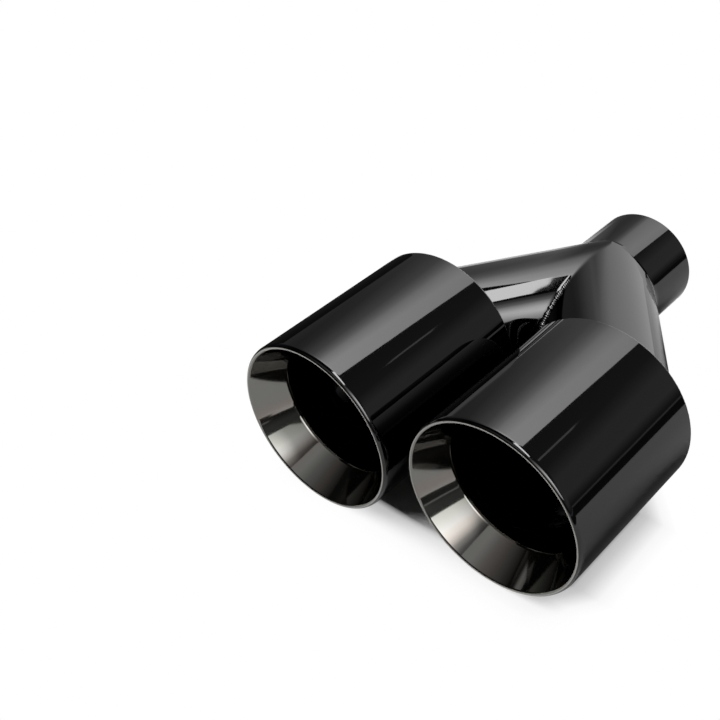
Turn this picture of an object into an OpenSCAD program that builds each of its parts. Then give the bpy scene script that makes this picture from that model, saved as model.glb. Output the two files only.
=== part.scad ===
// Twin exhaust tip: one clamp-on inlet, a mitred Y of two legs, and two
// double-edged round tips of unequal length side by side.
// +Y points back along the car's pipe, +Z is up, and the origin is the centre
// of the inlet's open end. Left and right are as seen facing the two mouths.

/* [Round tips] */
// Outside diameter of each tip shell
tip_d = 101.6; // [98:0.1:110]
// Sheet thickness of the tip shells
tip_wall = 1.5; // [1:0.1:2]
// Clear gap between the two shells
tip_gap = 6.4; // [2:0.1:16]
// Length of the right shell, from its rim to its rear edge
right_tip_len = 99; // [70:0.5:140]
// Length of the left shell, from its rim to its rear edge
left_tip_len = 109; // [70:0.5:140]
// Bevel on the two edges that meet at the seam behind the rim
seam_bevel = 0.35; // [0.1:0.05:0.6]

/* [Cone inserts] */
// Radius of the full round on the rolled rim
rim_r = 1.4; // [1:0.1:2]
// Depth of the rolled rim before the shell starts
rim_depth = 3; // [2.5:0.1:6]
// Depth from the rim to where the cone meets its neck
cone_depth = 19.4; // [12:0.1:40]
// Inside diameter of the neck
neck_d = 78; // [60:0.5:84]
// Straight length of the neck
neck_len = 6; // [3:0.5:20]
// Sheet thickness of the cone and its neck
cone_wall = 1.3; // [1:0.1:2]

/* [End plates] */
// Sheet thickness of the pressed end plates
plate_wall = 1.5; // [1:0.1:1.8]
// Outside radius of the pressed corner
plate_corner = 1.8; // [1.8:0.1:2.5]
// How far the flat face stands behind the shell's rear edge
plate_proud = 2; // [2:0.1:6]
// Depth of the skirt inside the shell
plate_skirt = 8; // [4:0.5:16]
// Clearance between the skirt and the shell
plate_fit = 0.05; // [0.02:0.01:0.2]
// Least width of flat that stays round the hole for the leg
plate_land = 6.5; // [4:0.5:7]

/* [Y legs] */
// Outside diameter of the leg tubes
leg_d = 69.8; // [64:0.1:71]
// Wall thickness of the leg tubes
leg_wall = 1.5; // [1:0.1:2]
// Angle of each leg from the centre line
leg_angle = 35.6; // [30:0.1:37]

/* [Inlet] */
// Outside diameter of the inlet tube
inlet_d = 63.5; // [54:0.1:66]
// Wall thickness of the inlet tube
inlet_wall = 1.5; // [1:0.1:2.5]
// Length of the inlet tube, from its open end to the legs
inlet_len = 39.4; // [25:0.1:90]
// Bevel on the inlet's open end
inlet_bevel = 0.4; // [0.2:0.1:0.6]

/* [Welds] */
// Height of the fork weld over each of the two legs
fork_weld_rise = 1.2; // [0.6:0.1:2]
// How far round the fork the weld runs, each way from its lowest point
fork_weld_angle = 60; // [40:1:66]
// Radius of the bead where a leg meets its end plate
leg_bead = 2; // [1:0.1:2.6]
// Radius of the seam bead between shell and end plate
seam_bead = 1.1; // [0.6:0.1:1.3]
// Length of the ground weld over the inlet joint
inlet_weld_len = 3.5; // [2:0.1:8]
// Height of the ground weld over the tubes
inlet_weld_rise = 0.5; // [0.3:0.1:1]

/* [Hidden] */
$fn = 180;

black_chrome = "#1b1c1e";
smoky_chrome = "#6a6864";
weld_grey = "#3a3a3c";

tip_r = tip_d / 2;
leg_r = leg_d / 2;
inlet_r = inlet_d / 2;
neck_r = neck_d / 2;
tip_spacing = tip_d + tip_gap;
tip_x = tip_spacing / 2;

// A square cut across a leg is an ellipse: this is its longer half axis
leg_half_w = leg_r / cos(leg_angle);
// A cut along the middle plane is a longer ellipse still
fork_half_l = leg_r / sin(leg_angle);

// The legs are trimmed square where they have come in to the inlet's width
apex_setback = (leg_half_w - inlet_r) / tan(leg_angle);
leg_run = tip_x / tan(leg_angle);
joint_y = -inlet_len;
apex_y = joint_y - apex_setback;
plate_y = apex_y - leg_run;
shell_back_y = plate_y - plate_proud;

plate_r = tip_r - tip_wall - plate_fit;
bead_sides = 10;
bead_steps = 72;
slice = 0.02;
past = 2;

// Turns a profile drawn as [radius, distance] round the Y axis
module turned(x, y) {
  translate([x, y, 0]) rotate([-90, 0, 0]) rotate_extrude() children();
}

// Round bar along the right leg's axis, long enough to pass both of its cuts
module leg_bar(r) {
  reach = leg_run / cos(leg_angle) + leg_r * tan(leg_angle) + past;
  translate([0, apex_y, 0]) rotate([90, 0, leg_angle])
    translate([0, 0, -leg_r]) cylinder(r = r, h = leg_r + reach);
}

// Space on the right of the middle plane, between two cuts square to Y
module right_of_middle(y0, y1) {
  translate([0, y0, -tip_d]) cube([2 * tip_d, y1 - y0, 2 * tip_d]);
}

module both_sides() {
  children();
  mirror([1, 0, 0]) children();
}

// Both legs as solid bars, trimmed at the middle plane and at the inlet
module legs_filled(extra = 0, y0 = plate_y, y1 = joint_y) {
  both_sides() intersection() {
    leg_bar(leg_r + extra);
    right_of_middle(y0, y1);
  }
}

// Round bead along a closed flat path, with face as the normal of its plane
module bead_ring(path, face, r) {
  n = len(path);
  points = [
    for (i = [0 : n - 1])
      let (
        along = path[(i + 1) % n] - path[(i + n - 1) % n],
        out = cross(face, along / norm(along))
      )
      for (j = [0 : bead_sides - 1])
        let (turn = 360 * (j + 0.5) / bead_sides)
        path[i] + r * (cos(turn) * out + sin(turn) * face)
  ];
  sides = [
    for (i = [0 : n - 1])
      for (j = [0 : bead_sides - 1])
        let (
          a = i * bead_sides,
          b = ((i + 1) % n) * bead_sides,
          k = (j + 1) % bead_sides
        )
        [a + j, b + j, b + k, a + k]
  ];
  polyhedron(points = points, faces = sides, convexity = 4);
}

// The inlet tube, bevelled at its open end
module inlet_tube() {
  color(black_chrome) turned(0, joint_y) polygon([
    [inlet_r - inlet_wall, 0],
    [inlet_r, 0],
    [inlet_r, inlet_len - inlet_bevel],
    [inlet_r - inlet_bevel, inlet_len],
    [inlet_r - inlet_wall, inlet_len]
  ]);
}

// The ground weld that carries the legs' pointed outline onto the round inlet
module inlet_weld() {
  color(black_chrome) difference() {
    hull() {
      translate([0, slice, 0])
        legs_filled(inlet_weld_rise, joint_y - slice, joint_y, $fn = 64);
      translate([0, joint_y, 0]) rotate([-90, 0, 0])
        cylinder(r = inlet_r + inlet_weld_rise, h = inlet_weld_len, $fn = 64);
    }
    translate([0, joint_y - past, 0]) rotate([-90, 0, 0])
      cylinder(d = inlet_d, h = inlet_len);
  }
}

// The right leg: a tube cut at the middle plane, the inlet and the end plate
module right_leg() {
  color(black_chrome) intersection() {
    difference() {
      leg_bar(leg_r);
      leg_bar(leg_r - leg_wall);
    }
    right_of_middle(plate_y, joint_y);
  }
}

module left_leg() {
  mirror([1, 0, 0]) right_leg();
}

// The metal that lies within a height of one leg's surface
module close_over_leg(height) {
  difference() {
    leg_bar(leg_r + height);
    leg_bar(leg_r);
  }
}

// The weld down in the fork, close over both legs at once
module fork_weld() {
  weld_end_y = apex_y - fork_half_l * cos(fork_weld_angle);
  color(weld_grey) intersection() {
    close_over_leg(fork_weld_rise);
    mirror([1, 0, 0]) close_over_leg(fork_weld_rise);
    translate([-tip_x, plate_y, -tip_r]) cube([tip_spacing, weld_end_y - plate_y, tip_d]);
  }
}

// A tip's outer shell, with a bevel at the front where it meets the rim
module shell(x, length) {
  color(black_chrome) turned(x, shell_back_y - length) polygon([
    [tip_r - tip_wall, rim_depth],
    [tip_r - seam_bevel, rim_depth],
    [tip_r, rim_depth + seam_bevel],
    [tip_r, length - seam_bevel],
    [tip_r - seam_bevel, length],
    [tip_r - tip_wall, length]
  ]);
}

// A tip's insert: the rolled rim, the cone that leads in, and its short neck
module cone(x, length) {
  ring_in = tip_r - 2 * rim_r;
  slant = atan((ring_in - neck_r) / (cone_depth - rim_r));
  wall_r = cone_wall / cos(slant);
  color(smoky_chrome) turned(x, shell_back_y - length) union() {
    translate([tip_r - rim_r, rim_r]) circle(r = rim_r, $fn = 48);
    polygon([
      [ring_in, rim_r],
      [tip_r, rim_r],
      [tip_r, rim_depth - seam_bevel],
      [tip_r - seam_bevel, rim_depth],
      [ring_in, rim_depth]
    ]);
    polygon([
      [ring_in, rim_r],
      [ring_in + cone_wall, rim_r],
      [ring_in + cone_wall, rim_depth],
      [ring_in - (rim_depth - rim_r) * tan(slant) + wall_r, rim_depth],
      [neck_r + cone_wall, cone_depth],
      [neck_r + cone_wall, cone_depth + neck_len],
      [neck_r, cone_depth + neck_len],
      [neck_r, cone_depth]
    ]);
  }
}

// The pressed plate that closes the back of a tip, holed for its leg's bore.
// The hole always leaves a land of flat plate round it.
module end_plate() {
  inner = plate_corner - plate_wall;
  color(black_chrome) difference() {
    turned(tip_x, plate_y) mirror([0, 1]) union() {
      square([plate_r - plate_corner, plate_wall]);
      translate([plate_r - plate_wall, plate_corner])
        square([plate_wall, plate_proud + plate_skirt - plate_corner]);
      translate([plate_r - plate_corner, plate_corner]) intersection() {
        difference() {
          circle(r = plate_corner, $fn = 48);
          if (inner > 0) circle(r = inner, $fn = 48);
        }
        mirror([0, 1]) square(plate_corner);
      }
    }
    intersection() {
      leg_bar(leg_r - leg_wall);
      turned(tip_x, plate_y - 2 * plate_wall)
        square([plate_r - plate_land, 4 * plate_wall]);
    }
  }
}

module right_end_plate() {
  end_plate();
}

module left_end_plate() {
  mirror([1, 0, 0]) end_plate();
}

// The seam bead in the corner between a shell's rear edge and its plate
module plate_seam() {
  color(weld_grey) turned(tip_x, shell_back_y) translate([plate_r, 0])
    intersection() {
      circle(r = seam_bead, $fn = 48);
      square(seam_bead);
    }
}

// The bead round a leg where it stands on its end plate
module leg_weld() {
  path = [
    for (i = [0 : bead_steps - 1])
      let (turn = 360 * i / bead_steps)
      [tip_x + leg_half_w * cos(turn), plate_y, leg_r * sin(turn)]
  ];
  color(weld_grey) difference() {
    bead_ring(path, [0, 1, 0], leg_bead);
    leg_bar(leg_r);
    right_of_middle(plate_y - 2 * leg_bead, plate_y);
  }
}

inlet_tube();
inlet_weld();
left_leg();
right_leg();
fork_weld();
shell(-tip_x, left_tip_len);  // left_shell
shell(tip_x, right_tip_len);  // right_shell
cone(-tip_x, left_tip_len);  // left_cone
cone(tip_x, right_tip_len);  // right_cone
left_end_plate();
right_end_plate();
mirror([1, 0, 0]) plate_seam();  // left_plate_seam
plate_seam();  // right_plate_seam
mirror([1, 0, 0]) leg_weld();  // left_leg_weld
leg_weld();  // right_leg_weld
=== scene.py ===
import math

import bpy
import numpy as np
from mathutils import Matrix, Vector


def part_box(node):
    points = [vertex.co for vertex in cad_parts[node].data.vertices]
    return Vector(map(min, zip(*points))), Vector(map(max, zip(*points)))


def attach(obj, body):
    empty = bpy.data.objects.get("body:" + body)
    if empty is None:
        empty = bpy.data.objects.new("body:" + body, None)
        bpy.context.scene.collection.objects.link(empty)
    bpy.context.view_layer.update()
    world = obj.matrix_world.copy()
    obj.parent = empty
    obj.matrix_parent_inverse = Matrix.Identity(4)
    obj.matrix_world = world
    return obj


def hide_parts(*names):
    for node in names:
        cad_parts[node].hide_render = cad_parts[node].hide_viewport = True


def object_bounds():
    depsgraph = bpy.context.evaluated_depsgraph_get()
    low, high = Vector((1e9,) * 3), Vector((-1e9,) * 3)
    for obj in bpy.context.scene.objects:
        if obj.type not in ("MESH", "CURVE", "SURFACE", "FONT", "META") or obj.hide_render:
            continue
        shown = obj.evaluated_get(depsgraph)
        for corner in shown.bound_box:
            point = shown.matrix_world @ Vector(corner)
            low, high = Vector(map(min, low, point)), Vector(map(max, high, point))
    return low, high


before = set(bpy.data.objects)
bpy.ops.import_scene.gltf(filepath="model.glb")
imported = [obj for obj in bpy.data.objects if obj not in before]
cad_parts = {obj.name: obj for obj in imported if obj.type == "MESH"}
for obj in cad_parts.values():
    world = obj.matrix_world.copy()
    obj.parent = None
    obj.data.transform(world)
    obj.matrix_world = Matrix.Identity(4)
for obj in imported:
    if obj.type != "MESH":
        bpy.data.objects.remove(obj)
cadLow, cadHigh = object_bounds()
mm = 0.001
sides = {"left": -1, "right": 1}

# Camera

photoCamera = {
    "place": (0.2679, -0.5155, 0.3666),  # metres
    "azimuth": 45.70,  # degrees, 0 looks along +Y
    "elevation": 37.48,
    "roll": -5.54,
    "lens": 52.88,  # mm, on a 36 mm sensor
}


def addCamera(look):
    azimuth, elevation, roll = (math.radians(look[k]) for k in ("azimuth", "elevation", "roll"))
    flat = math.cos(elevation)
    back = Vector((math.sin(azimuth) * flat, -math.cos(azimuth) * flat, math.sin(elevation)))
    right = Vector((0, 0, 1)).cross(back).normalized()
    up = back.cross(right)
    turn = Matrix((right, up, back)).transposed()
    turn = Matrix.Rotation(roll, 3, back) @ turn
    data = bpy.data.cameras.new("photoCamera")
    data.lens = look["lens"]
    data.sensor_width = 36
    camera = bpy.data.objects.new("photoCamera", data)
    camera.matrix_world = Matrix.Translation(look["place"]) @ turn.to_4x4()
    bpy.context.scene.collection.objects.link(camera)
    bpy.context.scene.camera = camera


addCamera(photoCamera)
bpy.context.scene.view_settings.view_transform = "Standard"
print("camera placed")

# Sizes read from the frame

tips = {}
for side in sides:
    shellLow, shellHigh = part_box(side + "_shell")
    coneLow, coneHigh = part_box(side + "_cone")
    plateLow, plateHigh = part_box(side + "_end_plate")
    tips[side] = {
        "x": (shellLow.x + shellHigh.x) / 2,
        "radius": shellHigh.z,
        "rimY": coneLow.y,
        "shellFrontY": shellLow.y,
        "shellBackY": shellHigh.y,
        "neckEndY": coneHigh.y,
        "plateY": plateHigh.y,
        "plateFrontY": plateLow.y,
        "plateRadius": plateHigh.z,
    }

legLow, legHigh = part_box("right_leg")
plateY, jointY = legLow.y, legHigh.y
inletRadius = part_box("inlet_tube")[1].z

legs = {"radius": legHigh.z, "angle": math.radians(35.6), "wall": 1.5 * mm}
legs["halfWidth"] = legs["radius"] / math.cos(legs["angle"])  # of the ellipse of a cut square to Y
apexY = plateY + tips["right"]["x"] / math.tan(legs["angle"])  # where the legs' axes meet

# Mesh tools

turnSteps = 288  # sides of a full turn
sameWay = 0.9  # least cosine between a corner's own normal and its straight's


def shadedMesh(name, points, faces, cornerNormals):
    mesh = bpy.data.meshes.new(name)
    mesh.from_pydata([tuple(p) for p in points], [], [tuple(f) for f in faces])
    mesh.update()
    mesh.shade_smooth()
    mesh.normals_split_custom_set([tuple(n) for n in cornerNormals])
    piece = bpy.data.objects.new(name, mesh)
    bpy.context.scene.collection.objects.link(piece)
    return piece


def ringMesh(name, rings, bandNormals):
    # Joins each ring to the next, and the last to the first, into one closed solid.
    # bandNormals holds, for each band, the normals on its two rings, or None for flat faces.
    rings = np.array(rings)
    count, around = rings.shape[:2]
    faces, normals = [], []
    nextOne = np.roll(np.arange(around), -1)
    for i in range(count):
        j = (i + 1) % count
        for a, b in zip(range(around), nextOne):
            corners = [(i, a), (j, a), (j, b), (i, b)]
            faces.append([ring * around + k for ring, k in corners])
            if bandNormals[i] is None:
                p = [rings[c] for c in corners]
                flat = np.cross(p[2] - p[0], p[3] - p[1])
                flat = flat / max(np.linalg.norm(flat), 1e-12)
                normals += [flat] * 4
            else:
                first, second = bandNormals[i]
                normals += [first[a], second[a], second[b], first[b]]
    return shadedMesh(name, rings.reshape(-1, 3), faces, normals)


def unit(vectors):
    return vectors / np.maximum(np.linalg.norm(vectors, axis=-1, keepdims=True), 1e-12)


def arc(centre, radius, start, end, steps):
    # Points of a profile's round corner, angles in degrees, with their outward normals
    found = []
    for i in range(steps + 1):
        a = math.radians(start + (end - start) * i / steps)
        out = (math.cos(a), math.sin(a))
        found.append(((centre[0] + radius * out[0], centre[1] + radius * out[1]), out))
    return found


def fullTurn(steps):
    return np.linspace(0, 2 * math.pi, steps, endpoint=False)


def circle(turns, x, radius, y):
    # Points round the line through x along Y. With x = 0 it turns a profile's normal as well.
    return np.stack([x + radius * np.cos(turns), y + 0 * turns, radius * np.sin(turns)], axis=1)


def lathe(name, x, profile):
    # profile is a closed list of ((radius, y), normal or None); None means a sharp corner.
    # It runs with the metal on its left, and turns about the line through x along Y.
    count = len(profile)
    turns = fullTurn(turnSteps)
    rings = [circle(turns, x, *point) for point, _ in profile]
    bands = []
    for i in range(count):
        (p, normalP), (q, normalQ) = profile[i], profile[(i + 1) % count]
        run = math.hypot(q[0] - p[0], q[1] - p[1])
        flat = ((q[1] - p[1]) / run, -(q[0] - p[0]) / run)

        def chosen(normal):
            # A corner's own normal counts only where it is close to the straight's
            if normal is None or normal[0] * flat[0] + normal[1] * flat[1] < sameWay:
                return flat
            return normal

        bands.append((circle(turns, 0, *chosen(normalP)), circle(turns, 0, *chosen(normalQ))))
    return ringMesh(name, rings, bands)


def straight(*points):
    return [(p, None) for p in points]


def finishPiece(piece, material, nodes):
    piece.data.materials.clear()
    piece.data.materials.append(material)
    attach(piece, "root")
    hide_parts(*nodes)
    return piece


# Materials


def linear(hexColour):
    values = [int(hexColour[i : i + 2], 16) / 255 for i in (1, 3, 5)]
    return tuple(v / 12.92 if v <= 0.04045 else ((v + 0.055) / 1.055) ** 2.4 for v in values) + (1,)


def addNode(tree, kind, inputs=None, **settings):
    # Each input is a value, or the socket of another node that feeds it
    node = tree.nodes.new(kind)
    for key, value in settings.items():
        setattr(node, key, value)
    for key, value in (inputs or {}).items():
        if isinstance(value, bpy.types.NodeSocket):
            tree.links.new(value, node.inputs[key])
        else:
            node.inputs[key].default_value = value
    return node


def compute(tree, operation, *values):
    return addNode(tree, "ShaderNodeMath", dict(enumerate(values)), operation=operation).outputs[0]


def objectPlace(tree):
    return addNode(tree, "ShaderNodeTexCoord").outputs["Object"]


def axesOf(tree, vector):
    return addNode(tree, "ShaderNodeSeparateXYZ", {"Vector": vector}).outputs


def noiseOf(tree, vector, scale, detail):
    noise = addNode(tree, "ShaderNodeTexNoise", {"Vector": vector, "Scale": scale, "Detail": detail})
    return noise.outputs["Fac"]


def bumpOf(tree, height, distance, under=None):
    # The bumpy surface's normals. under holds the normals of a bump below this one.
    bump = addNode(tree, "ShaderNodeBump", {"Strength": 1.0, "Distance": distance, "Height": height})
    if under:
        tree.links.new(under, bump.inputs["Normal"])
    return bump.outputs["Normal"]


def mixColours(tree, share, first, second):
    # Of a mix node's sockets, inputs 6 and 7 and output 2 are the ones for colours
    mix = addNode(tree, "ShaderNodeMix", {0: share, 6: first, 7: second}, data_type="RGBA")
    return mix.outputs[2]


def newMaterial(name):
    material = bpy.data.materials.new(name)
    material.use_nodes = True
    tree = material.node_tree
    tree.nodes.clear()
    return material, tree


def blendShaders(tree, share, first, second):
    return addNode(tree, "ShaderNodeMixShader", {0: share, 1: first.outputs[0], 2: second.outputs[0]})


def setSurface(tree, shader):
    addNode(tree, "ShaderNodeOutputMaterial", {"Surface": shader.outputs[0]})


def setMetal(tree, colour, roughness, normal):
    setSurface(tree, addNode(tree, "ShaderNodeBsdfPrincipled",
                             {"Base Color": colour, "Metallic": 1.0, "Roughness": roughness,
                              "Normal": normal}))


def setStops(ramp, stops, first, last):
    # stops are (place, colour), with places between first and last
    elements = ramp.color_ramp.elements
    while len(elements) < len(stops):
        elements.new(0.5)
    for element, (place, colour) in zip(elements, stops):
        element.position = (place - first) / (last - first)
        element.color = colour


def grey(value):
    return (value, value, value, 1)


def rampOf(tree, value, stops):
    # A ramp over real places: stops are (place, level)
    first, last = stops[0][0], stops[-1][0]
    share = addNode(tree, "ShaderNodeMapRange", {"Value": value, "From Min": first, "From Max": last})
    ramp = addNode(tree, "ShaderNodeValToRGB", {"Fac": share.outputs["Result"]})
    setStops(ramp, [(place, grey(level)) for place, level in stops], first, last)
    return ramp.outputs["Color"]


# Black chrome plate over polished stainless: a deep neutral black that mirrors like piano
# lacquer, brightest at a slant. Rolling and polishing leave slow waves, and drawing leaves
# faint lines along the tube, so that straight reflections waver a little.
blackChromeLook = {
    "colour": "#383838",
    "roughness": 0.045,
    "waveLength": 18.0,  # mm
    "waveHeight": 0.022,  # mm, on the straight tubes
    "waveDetail": 1.0,
    "legWaviness": 2.0,  # how much higher the waves are on the legs
    "lineWidth": 1.8,  # mm between the faint lines
    "lineLength": 90.0,  # mm
    "lineHeight": 0.0016,  # mm
    "lineDetail": 2.0,
}


def blackChrome(name, look, turn=0.0, waviness=1.0):
    # turn is the angle of the tube's axis away from Y, seen from above
    material, tree = newMaterial(name)
    place = objectPlace(tree)
    waves = noiseOf(tree, place, 1 / (look["waveLength"] * mm), look["waveDetail"])
    shorter = look["lineWidth"] / look["lineLength"]
    along = addNode(tree, "ShaderNodeMapping",
                    {"Vector": place, "Rotation": (0, 0, turn), "Scale": (1, shorter, 1)})
    lines = noiseOf(tree, along.outputs["Vector"], 1 / (look["lineWidth"] * mm), look["lineDetail"])
    slow = bumpOf(tree, waves, look["waveHeight"] * waviness * mm)
    fine = bumpOf(tree, lines, look["lineHeight"] * mm, slow)
    setMetal(tree, linear(look["colour"]), look["roughness"], fine)
    return material


# The same plate is thinner over the bright polished cone: a grey mirror, with faint warm and
# green tints from its thickness. On the rolled rim a lighter band along the crest paints the rim's
# bright line, a painted highlight, and outside the crest it is as black as the shell.
smokyChromeLook = {
    "colour": "#7b7a77",
    "warm": "#7f7872",
    "green": "#7a7a75",
    "tintPlaces": (0.32, 0.5, 0.68),  # levels of the noise that are warm, plain and green
    "tintLength": 22.0,  # mm
    # crest is the lighter colour of a band along the rim's crest: a painted highlight line
    "crest": "#a6a49f",
    "paintedHighlightBand": (-0.45, -0.12, 0.1, 0.3),  # starts, is full, and ends, in rim radii past the crest
    "outside": "#3a3a3a",
    "outsideBand": (0.0, 0.35),  # the same way: starts, and is full
    "roughness": 0.07,
    "waveLength": 15.0,  # mm
    "waveHeight": 0.02,  # mm
    "detail": 1.0,
}


def smokyChrome(side, look, rim):
    material, tree = newMaterial(side + "SmokyChrome")
    tip = tips[side]
    centred = addNode(tree, "ShaderNodeMapping",
                      {"Vector": objectPlace(tree), "Location": (-tip["x"], 0, 0), "Scale": (1, 0, 1)})
    fromAxis = centred.outputs["Vector"]
    radius = addNode(tree, "ShaderNodeVectorMath", {0: fromAxis}, operation="LENGTH").outputs["Value"]
    # Around the cone only: the pattern runs out along its slope, as the spinning left it
    around = addNode(tree, "ShaderNodeVectorMath", {0: fromAxis}, operation="NORMALIZE").outputs["Vector"]
    tints = noiseOf(tree, around, tip["radius"] / (look["tintLength"] * mm), look["detail"])
    tint = addNode(tree, "ShaderNodeValToRGB", {"Fac": tints})
    tintColours = [linear(look[name]) for name in ("warm", "colour", "green")]
    setStops(tint, list(zip(look["tintPlaces"], tintColours)), 0, 1)
    crest = tip["radius"] - rim
    # The painted highlight: a band of the lighter crest colour along the rim's crest
    bright = rampOf(tree, radius, list(zip((crest + k * rim for k in look["paintedHighlightBand"]), (0, 1, 1, 0))))
    dark = rampOf(tree, radius, list(zip((crest + k * rim for k in look["outsideBand"]), (0, 1))))
    withPaintedHighlight = mixColours(tree, bright, tint.outputs["Color"], linear(look["crest"]))
    whole = mixColours(tree, dark, withPaintedHighlight, linear(look["outside"]))
    waves = noiseOf(tree, around, tip["radius"] / (look["waveLength"] * mm), look["detail"])
    setMetal(tree, whole, look["roughness"], bumpOf(tree, waves, look["waveHeight"] * mm))
    return material


# Weld metal under the same plate: not polished flat, so every ripple catches its own glint
weldLook = {
    "colour": "#686868",
    "roughness": 0.24,
    "grain": 0.5,  # mm
    "grainHeight": 0.02,  # mm
    "detail": 2.0,
}


def platedWeld(look):
    material, tree = newMaterial("platedWeld")
    grain = noiseOf(tree, objectPlace(tree), 1 / (look["grain"] * mm), look["detail"])
    normal = bumpOf(tree, grain, look["grainHeight"] * mm)
    setMetal(tree, linear(look["colour"]), look["roughness"], normal)
    return material


rimRadius = 1.4 * mm
straightPlate = blackChrome("blackChrome", blackChromeLook)
legPlates = {side: blackChrome(side + "LegBlackChrome", blackChromeLook, -sign * legs["angle"],
                               blackChromeLook["legWaviness"])
             for side, sign in sides.items()}
conePlates = {side: smokyChrome(side, smokyChromeLook, rimRadius) for side in sides}
weldPlate = platedWeld(weldLook)
print("materials made")

# Tip shells

shellLook = {"wall": 1.5 * mm, "edge": 0.35 * mm, "edgeSteps": 5}


def makeShell(side, look):
    tip = tips[side]
    outer, inner = tip["radius"], tip["radius"] - look["wall"]
    front, back, e = tip["shellFrontY"], tip["shellBackY"], look["edge"]
    profile = straight((inner, back), (inner, front), (outer, front))
    profile += arc((outer - e, back - e), e, 0, 90, look["edgeSteps"])
    piece = lathe(side + "Shell", tip["x"], profile)
    return finishPiece(piece, straightPlate, [side + "_shell"])


# Cone inserts with a rolled rim, and a flared lip behind a fine groove at the neck

coneLook = {
    "wall": 1.3 * mm,
    "rimDepth": 3.0 * mm,
    "seamEdge": 0.15 * mm,
    "coneDepth": 19.4 * mm,
    "neckRadius": 39.0 * mm,
    "hollow": math.radians(6),  # the slope grows this much from the rim to the neck
    "groove": 0.35 * mm,  # between the cone's end and the lip
    "lipRadius": 8.0 * mm,
    "lipTurns": (198, 212),  # degrees of the lip's arc
    "steps": 12,  # of the slope and of the roll
    "lipSteps": 8,
    "seamSteps": 5,
}


def makeCone(side, look, rim):
    tip, steps = tips[side], look["steps"]
    outer, front, back = tip["radius"], tip["rimY"], tip["neckEndY"]
    wall, lip = look["wall"], look["lipRadius"]
    crest, inner = outer - rim, outer - 2 * rim
    neck, neckY = look["neckRadius"], front + look["coneDepth"]
    slope = math.atan2(inner - neck, look["coneDepth"] - rim)  # from the axis
    rimSlope, neckSlope = slope - look["hollow"] / 2, slope + look["hollow"] / 2
    rimY, seamY = front + rim, front + look["rimDepth"]

    # The hollow slope: an arc that leaves the roll smoothly and ends at the groove
    coneStart = (crest - rim * math.cos(rimSlope), rimY - rim * math.sin(rimSlope))
    chord = math.hypot(coneStart[0] - neck, neckY - look["groove"] - coneStart[1])
    hollowRadius = chord / (2 * math.sin(look["hollow"] / 2))
    hollowCentre = (coneStart[0] - hollowRadius * math.cos(rimSlope),
                    coneStart[1] - hollowRadius * math.sin(rimSlope))
    coneSide = []
    for i in range(steps + 1):
        a = neckSlope + (rimSlope - neckSlope) * i / steps
        out = (math.cos(a), math.sin(a))
        coneSide.append(((hollowCentre[0] + hollowRadius * out[0], hollowCentre[1] + hollowRadius * out[1]),
                         (-out[0], -out[1])))
    coneEnd = coneSide[0][0]

    # The roll is round inside its crest and a long oval outside it
    roll = arc((crest, rimY), rim, 180 + math.degrees(rimSlope), 270, steps)
    depth = look["rimDepth"]
    for i in range(1, steps + 1):
        a = math.radians(270 + 90 * i / steps)
        out = Vector((depth * math.cos(a), rim * math.sin(a))).normalized()
        roll.append(((crest + rim * math.cos(a), seamY + depth * math.sin(a)), tuple(out)))

    lipEnd, lipStart = (math.radians(a) for a in look["lipTurns"])
    lipCentre = (neck - lip * math.cos(lipEnd), neckY - lip * math.sin(lipStart))
    lipMouth = lipCentre[0] + lip * math.cos(lipStart)
    behindRim = inner + wall / math.cos(slope) - (seamY - rimY) * math.tan(slope)
    profile = straight((neck + wall, back), (neck, back))
    profile += arc(lipCentre, lip, *look["lipTurns"], look["lipSteps"])
    profile += straight((lipMouth + look["groove"], neckY), (coneEnd[0] + look["groove"], coneEnd[1]))
    profile += coneSide + roll[1:]
    edge = look["seamEdge"]
    profile += arc((outer - edge, seamY - edge), edge, 0, 90, look["seamSteps"])[1:]
    profile += straight((behindRim, seamY), (neck + wall, neckY + wall * math.tan(slope / 2)))
    piece = lathe(side + "Cone", tip["x"], profile)
    return finishPiece(piece, conePlates[side], [side + "_cone"])


# Pressed end plates

plateLook = {"wall": 1.5 * mm, "corner": 1.8 * mm, "cornerSteps": 8}


def makeEndPlate(side, look):
    tip, sign = tips[side], sides[side]
    outer, wall, corner = tip["plateRadius"], look["wall"], look["corner"]
    back, front = tip["plateY"], tip["plateFrontY"]
    bore = legs["radius"] - legs["wall"]
    longer = bore / math.cos(legs["angle"])
    turns = fullTurn(turnSteps)

    def hole(y):
        shift = sign * (back - y) * math.tan(legs["angle"])
        return np.stack([tip["x"] + shift + longer * np.cos(turns), y + 0 * turns, bore * np.sin(turns)],
                        axis=1)

    def ring(radius, y):
        return circle(turns, tip["x"], radius, y)

    def spread(normal):
        return circle(turns, 0, *normal)

    rings, bands = [hole(back)], [(spread((0, 1)), spread((0, 1)))]
    rounds = arc((outer - corner, back - corner), corner, 90, 0, look["cornerSteps"])
    for i, (point, normal) in enumerate(rounds):
        rings.append(ring(*point))
        following = rounds[i + 1][1] if i + 1 < len(rounds) else (1, 0)
        bands.append((spread(normal), spread(following)))
    rings += [ring(outer, front), ring(outer - wall, front), ring(outer - wall, back - corner)]
    bands += [None, (spread((-1, 0)), spread((-1, 0))), None]
    rings += [ring(outer - corner, back - wall), hole(back - wall)]
    bands += [(spread((0, -1)), spread((0, -1))), None]
    piece = ringMesh(side + "EndPlate", rings, bands)
    return finishPiece(piece, straightPlate, [side + "_end_plate"])


# Legs of the Y

legLook = {
    # The ground joint at the mitre is rounded: how far from it, in mm, and how much
    "blend": ((3.6, 0.0), (2.2, 0.16), (1.2, 0.5), (0.5, 0.86), (0.0, 1.0)),
    "jointReach": 3 * mm,  # the rounding fades out this far before the inlet
    "around": 384,
}


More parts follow.
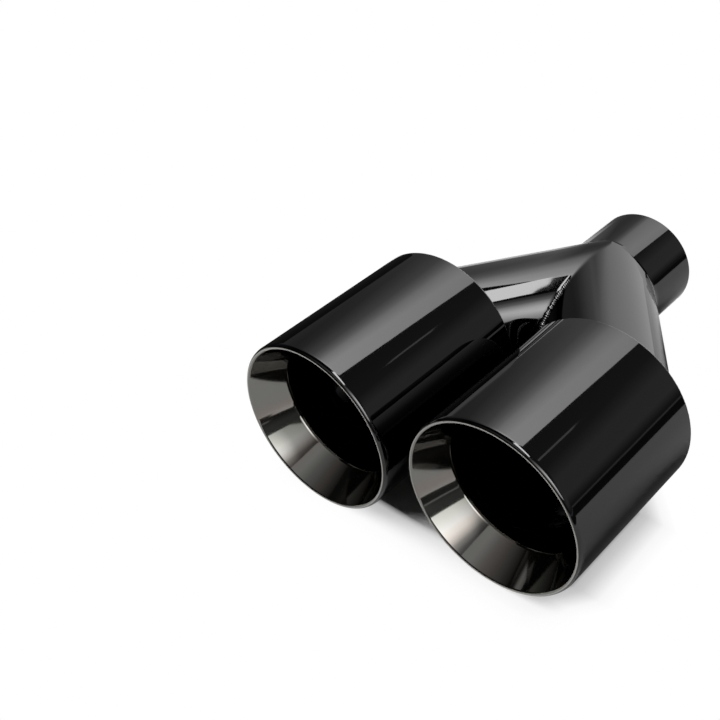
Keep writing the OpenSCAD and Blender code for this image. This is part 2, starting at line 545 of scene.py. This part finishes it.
def legPoint(sign, turn, radius, along):
    # A point on a leg's tube: turn goes round its axis, along runs from the apex down the leg
    a = legs["angle"]
    x = math.sin(a) * along + radius * math.cos(turn) * math.cos(a)
    y = apexY - math.cos(a) * along + radius * math.cos(turn) * math.sin(a)
    return (sign * x, y, radius * math.sin(turn))


def legCuts(turn, radius):
    # Where a line along the tube meets the middle plane or the inlet, and the end plate
    a = legs["angle"]
    middle = -radius * math.cos(turn) / math.tan(a)
    inlet = (apexY - jointY + radius * math.cos(turn) * math.sin(a)) / math.cos(a)
    plate = (apexY - plateY + radius * math.cos(turn) * math.sin(a)) / math.cos(a)
    return middle, inlet, plate


def makeLeg(side, look):
    sign, a = sides[side], legs["angle"]
    around = look["around"]
    turns = [2 * math.pi * k / around for k in range(around)]
    outer, bore = legs["radius"], legs["radius"] - legs["wall"]

    def edge(radius, past=0.0):
        # The edge at the mitre and the inlet, or a line that far down the leg from it
        found = []
        for t in turns:
            middle, inlet, plate = legCuts(t, radius)
            found.append(legPoint(sign, t, radius, min(max(middle, inlet) + past, plate)))
        return found

    def plateEdge(radius):
        return [legPoint(sign, t, radius, legCuts(t, radius)[2]) for t in turns]

    def outward(direction, share=0.0):
        # share turns the normals into the middle plane, by as much as the joint there is rounded
        found = []
        for t in turns:
            middle, inlet, _ = legCuts(t, outer)
            part = share * min(max((middle - inlet) / look["jointReach"], 0), 1)
            x = sign * math.cos(t) * math.cos(a) * (1 - part)
            found.append((direction * x, direction * math.cos(t) * math.sin(a),
                          direction * math.sin(t)))
        return unit(np.array(found))

    rings = [plateEdge(outer)]
    bands = []
    before = outward(1)
    for past, share in look["blend"]:
        rings.append(edge(outer, past * mm))
        normals = outward(1, share)
        bands.append((before, normals))
        before = normals
    rings += [edge(bore), plateEdge(bore)]
    bands += [None, (outward(-1), outward(-1)), None]
    if sign < 0:  # a mirrored leg turns the other way, which keeps its faces outward
        rings = [ring[::-1] for ring in rings]
        bands = [band and tuple(normals[::-1] for normals in band) for band in bands]
    piece = ringMesh(side + "Leg", rings, bands)
    return finishPiece(piece, legPlates[side], [side + "_leg"])


# Inlet tube

inletLook = {"wall": 1.5 * mm, "edge": 0.4 * mm, "edgeSteps": 5}


def makeInlet(look):
    low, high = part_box("inlet_tube")
    outer, inner, e = inletRadius, inletRadius - look["wall"], look["edge"]
    profile = straight((inner, high.y), (inner, low.y), (outer, low.y))
    profile += arc((outer - e, high.y - e), e, 0, 90, look["edgeSteps"])
    piece = lathe("inletTube", 0, profile)
    return finishPiece(piece, straightPlate, ["inlet_tube"])


# The ground weld that carries the legs' outline smoothly onto the inlet

inletWeldLook = {
    "rise": 0.1 * mm,
    "overLegs": 2.0 * mm,
    "depth": 0.6 * mm,  # how far it reaches into the inlet's wall
    "steps": 14,
    "around": 384,
}


def legOutline(turn, y):
    # Distance from the Y axis to the legs' joined outline in a cut square to Y
    a, reach = legs["angle"], (y - apexY) * math.tan(legs["angle"])
    c, s = abs(math.cos(turn)) / legs["halfWidth"], math.sin(turn) / legs["radius"]
    d = reach / legs["halfWidth"]
    square, middle, rest = c * c + s * s, c * d, d * d - 1
    return (-middle + math.sqrt(middle * middle - square * rest)) / square


def makeInletWeld(look):
    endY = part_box("inlet_weld")[1].y
    steps, turns = look["steps"], fullTurn(look["around"])
    # It reaches over the legs most at the sides, where they lean in to the inlet
    startY = jointY - look["overLegs"] * np.cos(turns) ** 2
    length = endY - startY
    nudge = 0.01 * mm
    start = np.array([legOutline(t, y) for t, y in zip(turns, startY)])
    further = np.array([legOutline(t, y + nudge) for t, y in zip(turns, startY)])
    slope = (further - start) / nudge
    outer = []
    for i in range(steps + 1):
        t = i / steps
        # A smooth run from the leg's own slope to the inlet's straight side
        radius = ((2 * t ** 3 - 3 * t ** 2 + 1) * start + (t ** 3 - 2 * t ** 2 + t) * slope * length
                  + (3 * t ** 2 - 2 * t ** 3) * inletRadius
                  + look["rise"] * math.sin(math.pi * t) ** 2)
        outer.append(circle(turns, 0, radius, startY + t * length))
    outer = np.array(outer)
    aroundIt = np.roll(outer, -1, axis=1) - np.roll(outer, 1, axis=1)
    normals = unit(np.cross(np.gradient(outer, axis=0), aroundIt))
    inside = [circle(turns, 0, inletRadius - look["depth"], y) for y in (endY, startY)]
    bands = [(normals[i], normals[i + 1]) for i in range(steps)] + [None, None, None]
    piece = ringMesh("inletWeld", list(outer) + inside, bands)
    return finishPiece(piece, straightPlate, ["inlet_weld"])


for side in sides:
    makeShell(side, shellLook)
    makeCone(side, coneLook, rimRadius)
    makeEndPlate(side, plateLook)
    makeLeg(side, legLook)
makeInlet(inletLook)
makeInletWeld(inletWeldLook)
print("tubes, cones and plates made")

# Weld beads: a row of overlapping ripples along a path

# Lengths in mm: a ripple's radius and pitch, how far the path is lifted off the metal, and how far it
# lies inside the middle of the seam's edges. taper is the size of the ripples at the ends of an open
# path, and steps the points of the path.
weldBeads = {
    "fork": {"radius": 1.5, "pitch": 1.3, "uneven": 0.28, "taper": 0.45, "seed": 3, "lift": 0.3,
             "steps": 120},
    "leg": {"radius": 1.7, "pitch": 1.5, "uneven": 0.12, "taper": 1.0, "seed": 11, "lift": 0.2,
            "steps": 240},
    "seam": {"radius": 0.85, "pitch": 0.6, "uneven": 0.05, "taper": 1.0, "seed": 23, "lift": 0.1,
             "inset": 0.35, "steps": 300},
}


def rippleTree():
    tree = bpy.data.node_groups.new("weldRipples", "GeometryNodeTree")
    sockets = [("Geometry", "Geometry"), ("Radius", "Float"), ("Pitch", "Float"), ("Uneven", "Float"),
               ("Taper", "Float"), ("Seed", "Int"), ("Material", "Material")]
    for name, kind in sockets:
        tree.interface.new_socket(name=name, in_out="INPUT", socket_type="NodeSocket" + kind)
    tree.interface.new_socket(name="Geometry", in_out="OUTPUT", socket_type="NodeSocketGeometry")
    given = addNode(tree, "NodeGroupInput").outputs
    path = addNode(tree, "GeometryNodeMeshToCurve", {"Mesh": given["Geometry"]})
    spaced = addNode(tree, "GeometryNodeResampleCurve",
                     {"Curve": path.outputs["Curve"], "Length": given["Pitch"]}, mode="LENGTH")
    ripple = addNode(tree, "GeometryNodeMeshIcoSphere", {"Subdivisions": 2, "Radius": given["Radius"]})
    # Full size in the middle of an open path, and Taper times that at its two ends
    factor = addNode(tree, "GeometryNodeSplineParameter").outputs["Factor"]
    fromMiddle = compute(tree, "MULTIPLY", compute(tree, "SUBTRACT", factor, 0.5), 2.0)
    size = addNode(tree, "ShaderNodeMapRange",
                   {"Value": compute(tree, "POWER", fromMiddle, 4.0), "To Min": 1.0,
                    "To Max": given["Taper"]})
    least = compute(tree, "SUBTRACT", 1.0, given["Uneven"])
    most = compute(tree, "ADD", 1.0, given["Uneven"])
    # Of a random node's sockets, inputs 2 and 3 and output 1 are the ones for plain numbers
    chance = addNode(tree, "FunctionNodeRandomValue", {2: least, 3: most, "Seed": given["Seed"]},
                     data_type="FLOAT")
    scale = compute(tree, "MULTIPLY", size.outputs["Result"], chance.outputs[1])
    placed = addNode(tree, "GeometryNodeInstanceOnPoints",
                     {"Points": spaced.outputs["Curve"], "Instance": ripple.outputs["Mesh"],
                      "Scale": scale})
    whole = addNode(tree, "GeometryNodeRealizeInstances", {"Geometry": placed.outputs["Instances"]})
    smooth = addNode(tree, "GeometryNodeSetShadeSmooth", {"Geometry": whole.outputs["Geometry"]})
    coated = addNode(tree, "GeometryNodeSetMaterial",
                     {"Geometry": smooth.outputs["Geometry"], "Material": given["Material"]})
    addNode(tree, "NodeGroupOutput", {"Geometry": coated.outputs["Geometry"]})
    return tree


ripples = rippleTree()


def makeBead(name, path, closed, look, node):
    edges = [(i, i + 1) for i in range(len(path) - 1)]
    if closed:
        edges.append((len(path) - 1, 0))
    line = bpy.data.meshes.new(name + "Path")
    line.from_pydata([tuple(p) for p in path], edges, [])
    carrier = bpy.data.objects.new(name + "Path", line)
    bpy.context.scene.collection.objects.link(carrier)
    modifier = carrier.modifiers.new("ripples", "NODES")
    modifier.node_group = ripples
    inputs = {"Radius": look["radius"] * mm, "Pitch": look["pitch"] * mm, "Uneven": look["uneven"],
              "Taper": look["taper"], "Seed": look["seed"], "Material": weldPlate}
    for item in ripples.interface.items_tree:
        if item.in_out == "INPUT" and item.name in inputs:
            modifier[item.identifier] = inputs[item.name]
    evaluated = carrier.evaluated_get(bpy.context.evaluated_depsgraph_get())
    mesh = bpy.data.meshes.new_from_object(evaluated)
    mesh.name = name
    bpy.data.objects.remove(carrier)
    piece = bpy.data.objects.new(name, mesh)
    bpy.context.scene.collection.objects.link(piece)
    return finishPiece(piece, weldPlate, [node])


def forkPath(look):
    # The line where the legs' tubes meet, from one end of the weld round the crotch to the other
    a, radius = legs["angle"], legs["radius"] + look["lift"] * mm
    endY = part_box("fork_weld")[1].y
    half = math.acos(min((apexY - endY) * math.sin(a) / radius, 1))
    turns = np.linspace(math.pi - half, math.pi + half, look["steps"])
    return [(0, apexY + radius * math.cos(t) / math.sin(a), radius * math.sin(t)) for t in turns]


def legWeldPath(side, look):
    sign, lift = sides[side], look["lift"] * mm
    return [(sign * (tips["right"]["x"] + (legs["halfWidth"] + lift) * math.cos(t)), plateY + lift,
             (legs["radius"] + lift) * math.sin(t)) for t in fullTurn(look["steps"])]


def seamPath(side, look):
    tip = tips[side]
    radius = (tip["plateRadius"] + tip["radius"]) / 2 - look["inset"] * mm
    return circle(fullTurn(look["steps"]), tip["x"], radius, tip["shellBackY"] + look["lift"] * mm)


fork, leg, seam = (weldBeads[name] for name in ("fork", "leg", "seam"))
makeBead("forkWeld", forkPath(fork), False, fork, "fork_weld")
for side in sides:
    makeBead(side + "LegWeld", legWeldPath(side, leg), True, leg, side + "_leg_weld")
    makeBead(side + "PlateSeam", seamPath(side, seam), True, seam, side + "_plate_seam")
print("weld beads made")

# Studio: a white floor under soft light, with a painted white glow away from the part, and cards round it
# that only the metal mirrors

floorLook = {
    "colour": "#e4e4e4",
    "size": 12.0,
    # Half the width of the shadow's dark core along the part, in metres: (y, half width). Outside it a
    # painted glow whitens the floor
    "core": ((-0.25, 0.075), (-0.2214, 0.076), (-0.208, 0.085), (-0.145, 0.085), (-0.1, 0.045),
             (-0.04, 0.005), (0.0, 0.0)),
    "coreFront": -0.2214,
    "coreBack": -0.02,
    # How far the floor is painted up to a plain white glow, by the distance from the core: painted light,
    # for the camera, and for what the metal mirrors
    "seen": ((0.0, 0.0), (0.0015, 0.22), (0.004, 0.48), (0.008, 0.56), (0.013, 0.74), (0.018, 0.92),
             (0.026, 1.0)),
    "paintedMirrorGlow": ((0.1, 0.0), (0.4, 1.0)),
}


def stagePlane(name, corners, material, onlyMirrored):
    mesh = bpy.data.meshes.new(name)
    mesh.from_pydata([tuple(c) for c in corners], [], [tuple(range(len(corners)))])
    plane = bpy.data.objects.new(name, mesh)
    bpy.context.scene.collection.objects.link(plane)
    mesh.materials.append(material)
    if onlyMirrored:
        plane.visible_camera = False
        plane.visible_diffuse = False
        plane.visible_shadow = False


def addFloor(look):
    half, z = look["size"] / 2, cadLow.z
    material, tree = newMaterial("paperFloor")
    # Distance on the floor from the shadow's dark core
    axes = axesOf(tree, objectPlace(tree))
    beside = compute(tree, "SUBTRACT", compute(tree, "ABSOLUTE", axes["X"]),
                     rampOf(tree, axes["Y"], look["core"]))
    ahead = compute(tree, "SUBTRACT", look["coreFront"], axes["Y"])
    behind = compute(tree, "SUBTRACT", axes["Y"], look["coreBack"])
    apart = addNode(tree, "ShaderNodeCombineXYZ",
                    {"X": beside, "Y": compute(tree, "MAXIMUM", ahead, behind)})
    outside = addNode(tree, "ShaderNodeVectorMath", {0: apart.outputs["Vector"], 1: (0, 0, 0)},
                      operation="MAXIMUM")
    distance = addNode(tree, "ShaderNodeVectorMath", {0: outside.outputs["Vector"]},
                       operation="LENGTH").outputs["Value"]

    # Painted light: the floor glows white away from the core, so the camera sees the shadow close to the
    # part only
    rays = addNode(tree, "ShaderNodeLightPath").outputs
    seen = compute(tree, "MULTIPLY", rays["Is Camera Ray"], rampOf(tree, distance, look["seen"]))
    indirect = compute(tree, "MAXIMUM", rays["Is Glossy Ray"], rays["Is Transmission Ray"])
    paintedMirrorGlow = compute(tree, "MULTIPLY", indirect, rampOf(tree, distance, look["paintedMirrorGlow"]))
    paper = addNode(tree, "ShaderNodeBsdfDiffuse", {"Color": linear(look["colour"])})
    # white is the glow painted onto the floor, mixed in by the two shares above
    white = addNode(tree, "ShaderNodeEmission", {"Strength": 1.0})
    setSurface(tree, blendShaders(tree, compute(tree, "ADD", seen, paintedMirrorGlow), paper, white))
    corners = [(-half, -half, z), (half, -half, z), (half, half, z), (-half, half, z)]
    stagePlane("studioFloor", corners, material, False)


def cardMaterial(name, strength):
    # strength is a number, or a function that makes the nodes of one that changes across the card
    material, tree = newMaterial(name)
    level = strength(tree) if callable(strength) else strength
    setSurface(tree, addNode(tree, "ShaderNodeEmission", {"Strength": level}))
    return material


# A tall soft box behind the part: its reflections make the broad bands on top of the tubes
backLight = {
    "y": 0.55,
    "x": (-1.8, 0.17),
    "z": (cadLow.z, 1.9),
    "base": 2.05,
    "rise": 2.6,  # more strength for each metre of height
    "lean": 0.35,  # how far the fade moves to the left for each metre of height
    "leanFrom": 0.6,  # the height where it is as given here
    "fade": ((-1.9, 0.05), (-1.2, 0.05), (-1.0, 0.07), (-0.82, 0.12), (-0.58, 0.21), (-0.44, 0.35),
             (-0.34, 0.5), (-0.26, 0.68), (-0.17, 0.8), (0.0, 1.0)),  # by x
}


def addBackLight(look):
    def fade(tree):
        axes = axesOf(tree, objectPlace(tree))
        level = compute(tree, "MULTIPLY_ADD", axes["Z"], look["rise"], look["base"])
        leaning = compute(tree, "MULTIPLY_ADD", axes["Z"], look["lean"], -look["leanFrom"] * look["lean"])
        across = compute(tree, "ADD", axes["X"], leaning)
        return compute(tree, "MULTIPLY", rampOf(tree, across, look["fade"]), level)

    (x0, x1), (z0, z1), y = look["x"], look["z"], look["y"]
    stagePlane("backLight", [(x0, y, z0), (x1, y, z0), (x1, y, z1), (x0, y, z1)],
               cardMaterial("backLight", fade), True)


# A lamp with a shade, up in front on the right. w runs across it and h up from z = 0.
frontLight = {
    "azimuth": 115,
    "distance": 1.4,
    "outline": ((-0.8, 2.6), (-0.35, 0.48), (0.30, 0.48), (0.42, 0.64), (1.3, 1.3), (1.3, 3.2),
                (-0.9, 3.2)),
    "strength": 12.5,
    "byHeight": ((0.4, 0.62), (0.7, 0.7), (1.05, 0.82), (1.38, 0.7), (1.65, 0.48), (2.06, 0.18),
                 (2.63, 0.065), (3.2, 0.03)),
    "edgeFrom": (0.10, 0.42),  # a point (w, h) on the soft right edge
    "edgeRise": 3.15,  # the soft right edge climbs this much for each metre across
    "byEdge": ((-0.5, 1.0), (-0.25, 0.5), (-0.1, 0.4), (-0.02, 0.36), (0.06, 0.25), (0.12, 0.14),
               (0.5, 0.05)),
}


def addFrontLight(look):
    a = math.radians(look["azimuth"])
    outward = Vector((math.sin(a), math.cos(a), 0))
    across = Vector((math.cos(a), -math.sin(a), 0))
    start = outward * look["distance"]

    def fade(tree):
        place = objectPlace(tree)
        w = addNode(tree, "ShaderNodeVectorMath", {0: place, 1: tuple(across)},
                    operation="DOT_PRODUCT").outputs["Value"]
        h = axesOf(tree, place)["Z"]
        edgeW, edgeH = look["edgeFrom"]
        edge = compute(tree, "MULTIPLY_ADD", h, -1 / look["edgeRise"], edgeH / look["edgeRise"] - edgeW)
        shares = compute(tree, "MULTIPLY", rampOf(tree, compute(tree, "ADD", w, edge), look["byEdge"]),
                         rampOf(tree, h, look["byHeight"]))
        return compute(tree, "MULTIPLY", shares, look["strength"])

    corners = [start + across * w + Vector((0, 0, h)) for w, h in look["outline"]]
    stagePlane("frontLight", corners, cardMaterial("frontLight", fade), True)


# A dim sheet high up in front, which only the cones mirror
overheadSheet = {
    "z": 1.6,
    "y": (-1.3, -0.36),
    "fade": ((-1.6, 0.03), (-1.2, 0.085), (-0.66, 0.2), (-0.23, 0.35), (0.17, 0.62),
             (0.5, 0.62)),  # by x
}


def addOverheadSheet(look):
    def fade(tree):
        return rampOf(tree, axesOf(tree, objectPlace(tree))["X"], look["fade"])

    (y0, y1), x0, x1, z = look["y"], look["fade"][0][0], look["fade"][-1][0], look["z"]
    stagePlane("overheadSheet", [(x0, y0, z), (x1, y0, z), (x1, y1, z), (x0, y1, z)],
               cardMaterial("overheadSheet", fade), True)


# A dim sheet at the back left, beside the inlet, that thins out at its front and its top
sideSheet = {
    "x": -0.13,
    "y": (0.08, 0.5),
    "z": (-0.05, 0.26),
    "level": ((-0.05, 0.13), (0.03, 0.14), (0.07, 0.18), (0.1, 0.26), (0.15, 0.46),
              (0.26, 0.8)),  # by z
    "thinFront": ((0.085, 0.0), (0.125, 1.0)),  # by y
    "thinTop": ((0.15, 1.0), (0.25, 0.0)),  # by z
}


def addSideSheet(look):
    material, tree = newMaterial("sideSheet")
    axes = axesOf(tree, objectPlace(tree))
    share = compute(tree, "MULTIPLY", rampOf(tree, axes["Y"], look["thinFront"]),
                    rampOf(tree, axes["Z"], look["thinTop"]))
    clear = addNode(tree, "ShaderNodeBsdfTransparent")
    glow = addNode(tree, "ShaderNodeEmission", {"Strength": rampOf(tree, axes["Z"], look["level"])})
    setSurface(tree, blendShaders(tree, share, clear, glow))
    x, (y0, y1), (z0, z1) = look["x"], look["y"], look["z"]
    stagePlane("sideSheet", [(x, y0, z0), (x, y1, z0), (x, y1, z1), (x, y0, z1)], material, True)


# Plain cards: their corners in metres and their strength. The bright one lights the cones, the two
# gaps darken the lower sides of the shells, and the rail and the strip draw thin light lines.
plainCards = {
    "overheadLight": (((0.6, -0.35, 1.5), (0.6, 0.02, 1.5), (0.06, 0.45, 1.5), (0.06, -0.05, 1.5)),
                      13.4),
    "rightGap": (((0.52, 0.75, -0.05), (0.52, 0.75, 0.03), (0.52, -0.45, 0.03), (0.52, -0.45, -0.05)),
                 0.05),
    "leftGap": (((-0.2, -0.25, -0.05), (-0.2, -0.25, 0.06), (-0.2, -0.03, 0.06), (-0.2, -0.03, -0.05)),
                0.02),
    "rightRail": (((0.519, 0.4, 0.026), (0.519, 0.4, 0.042), (0.519, -0.45, 0.042),
                   (0.519, -0.45, 0.026)), 0.4),
    "highStrip": (((0.51, 0.5, 0.9), (0.55, 0.5, 0.9), (0.55, 0.62, 0.9), (0.51, 0.62, 0.9)), 1.0),
}

# Even soft light for the floor's shadow, from the left
floorLight = {"azimuth": -130, "elevation": 41, "width": 45, "strength": 4.4}  # degrees


def addFloorLight(look):
    data = bpy.data.lights.new("floorLight", "SUN")
    data.energy = look["strength"]
    data.angle = math.radians(look["width"])
    lamp = bpy.data.objects.new("floorLight", data)
    a, e = math.radians(look["azimuth"]), math.radians(look["elevation"])
    source = Vector((math.sin(a) * math.cos(e), math.cos(a) * math.cos(e), math.sin(e)))
    lamp.rotation_mode = "QUATERNION"
    lamp.rotation_quaternion = source.to_track_quat("Z", "Y")
    lamp.visible_glossy = False
    bpy.context.scene.collection.objects.link(lamp)


# The dim room: lightest at the back right, with some light low down and overhead. The camera
# sees white paper beyond the floor.
roomLook = {
    "lightSide": (0.5, 0.866, 0.0),
    "byAcross": ((-1.0, 0.05), (-0.3, 0.1), (0.25, 0.3), (0.5, 0.8), (0.8, 1.0), (1.0, 1.0)),
    "byHeight": ((-0.1, 0.1), (0.06, 0.12), (0.2, 0.4), (0.45, 0.4), (0.62, 0.17), (1.0, 0.12)),
}


def addRoom(look):
    world = bpy.data.worlds.new("studio")
    world.use_nodes = True
    tree = world.node_tree
    direction = addNode(tree, "ShaderNodeTexCoord").outputs["Generated"]
    across = addNode(tree, "ShaderNodeVectorMath", {0: direction, 1: look["lightSide"]},
                     operation="DOT_PRODUCT").outputs["Value"]
    dim = compute(tree, "MULTIPLY", rampOf(tree, across, look["byAcross"]),
                  rampOf(tree, axesOf(tree, direction)["Z"], look["byHeight"]))
    rays = addNode(tree, "ShaderNodeLightPath").outputs
    background = tree.nodes["Background"].inputs
    background["Color"].default_value = grey(1.0)
    tree.links.new(compute(tree, "MAXIMUM", rays["Is Camera Ray"], dim), background["Strength"])
    bpy.context.scene.world = world


addFloor(floorLook)
addBackLight(backLight)
addFrontLight(frontLight)
addOverheadSheet(overheadSheet)
addSideSheet(sideSheet)
for name, (corners, strength) in plainCards.items():
    stagePlane(name, corners, cardMaterial(name, strength), True)
addFloorLight(floorLight)
addRoom(roomLook)
print("studio made")
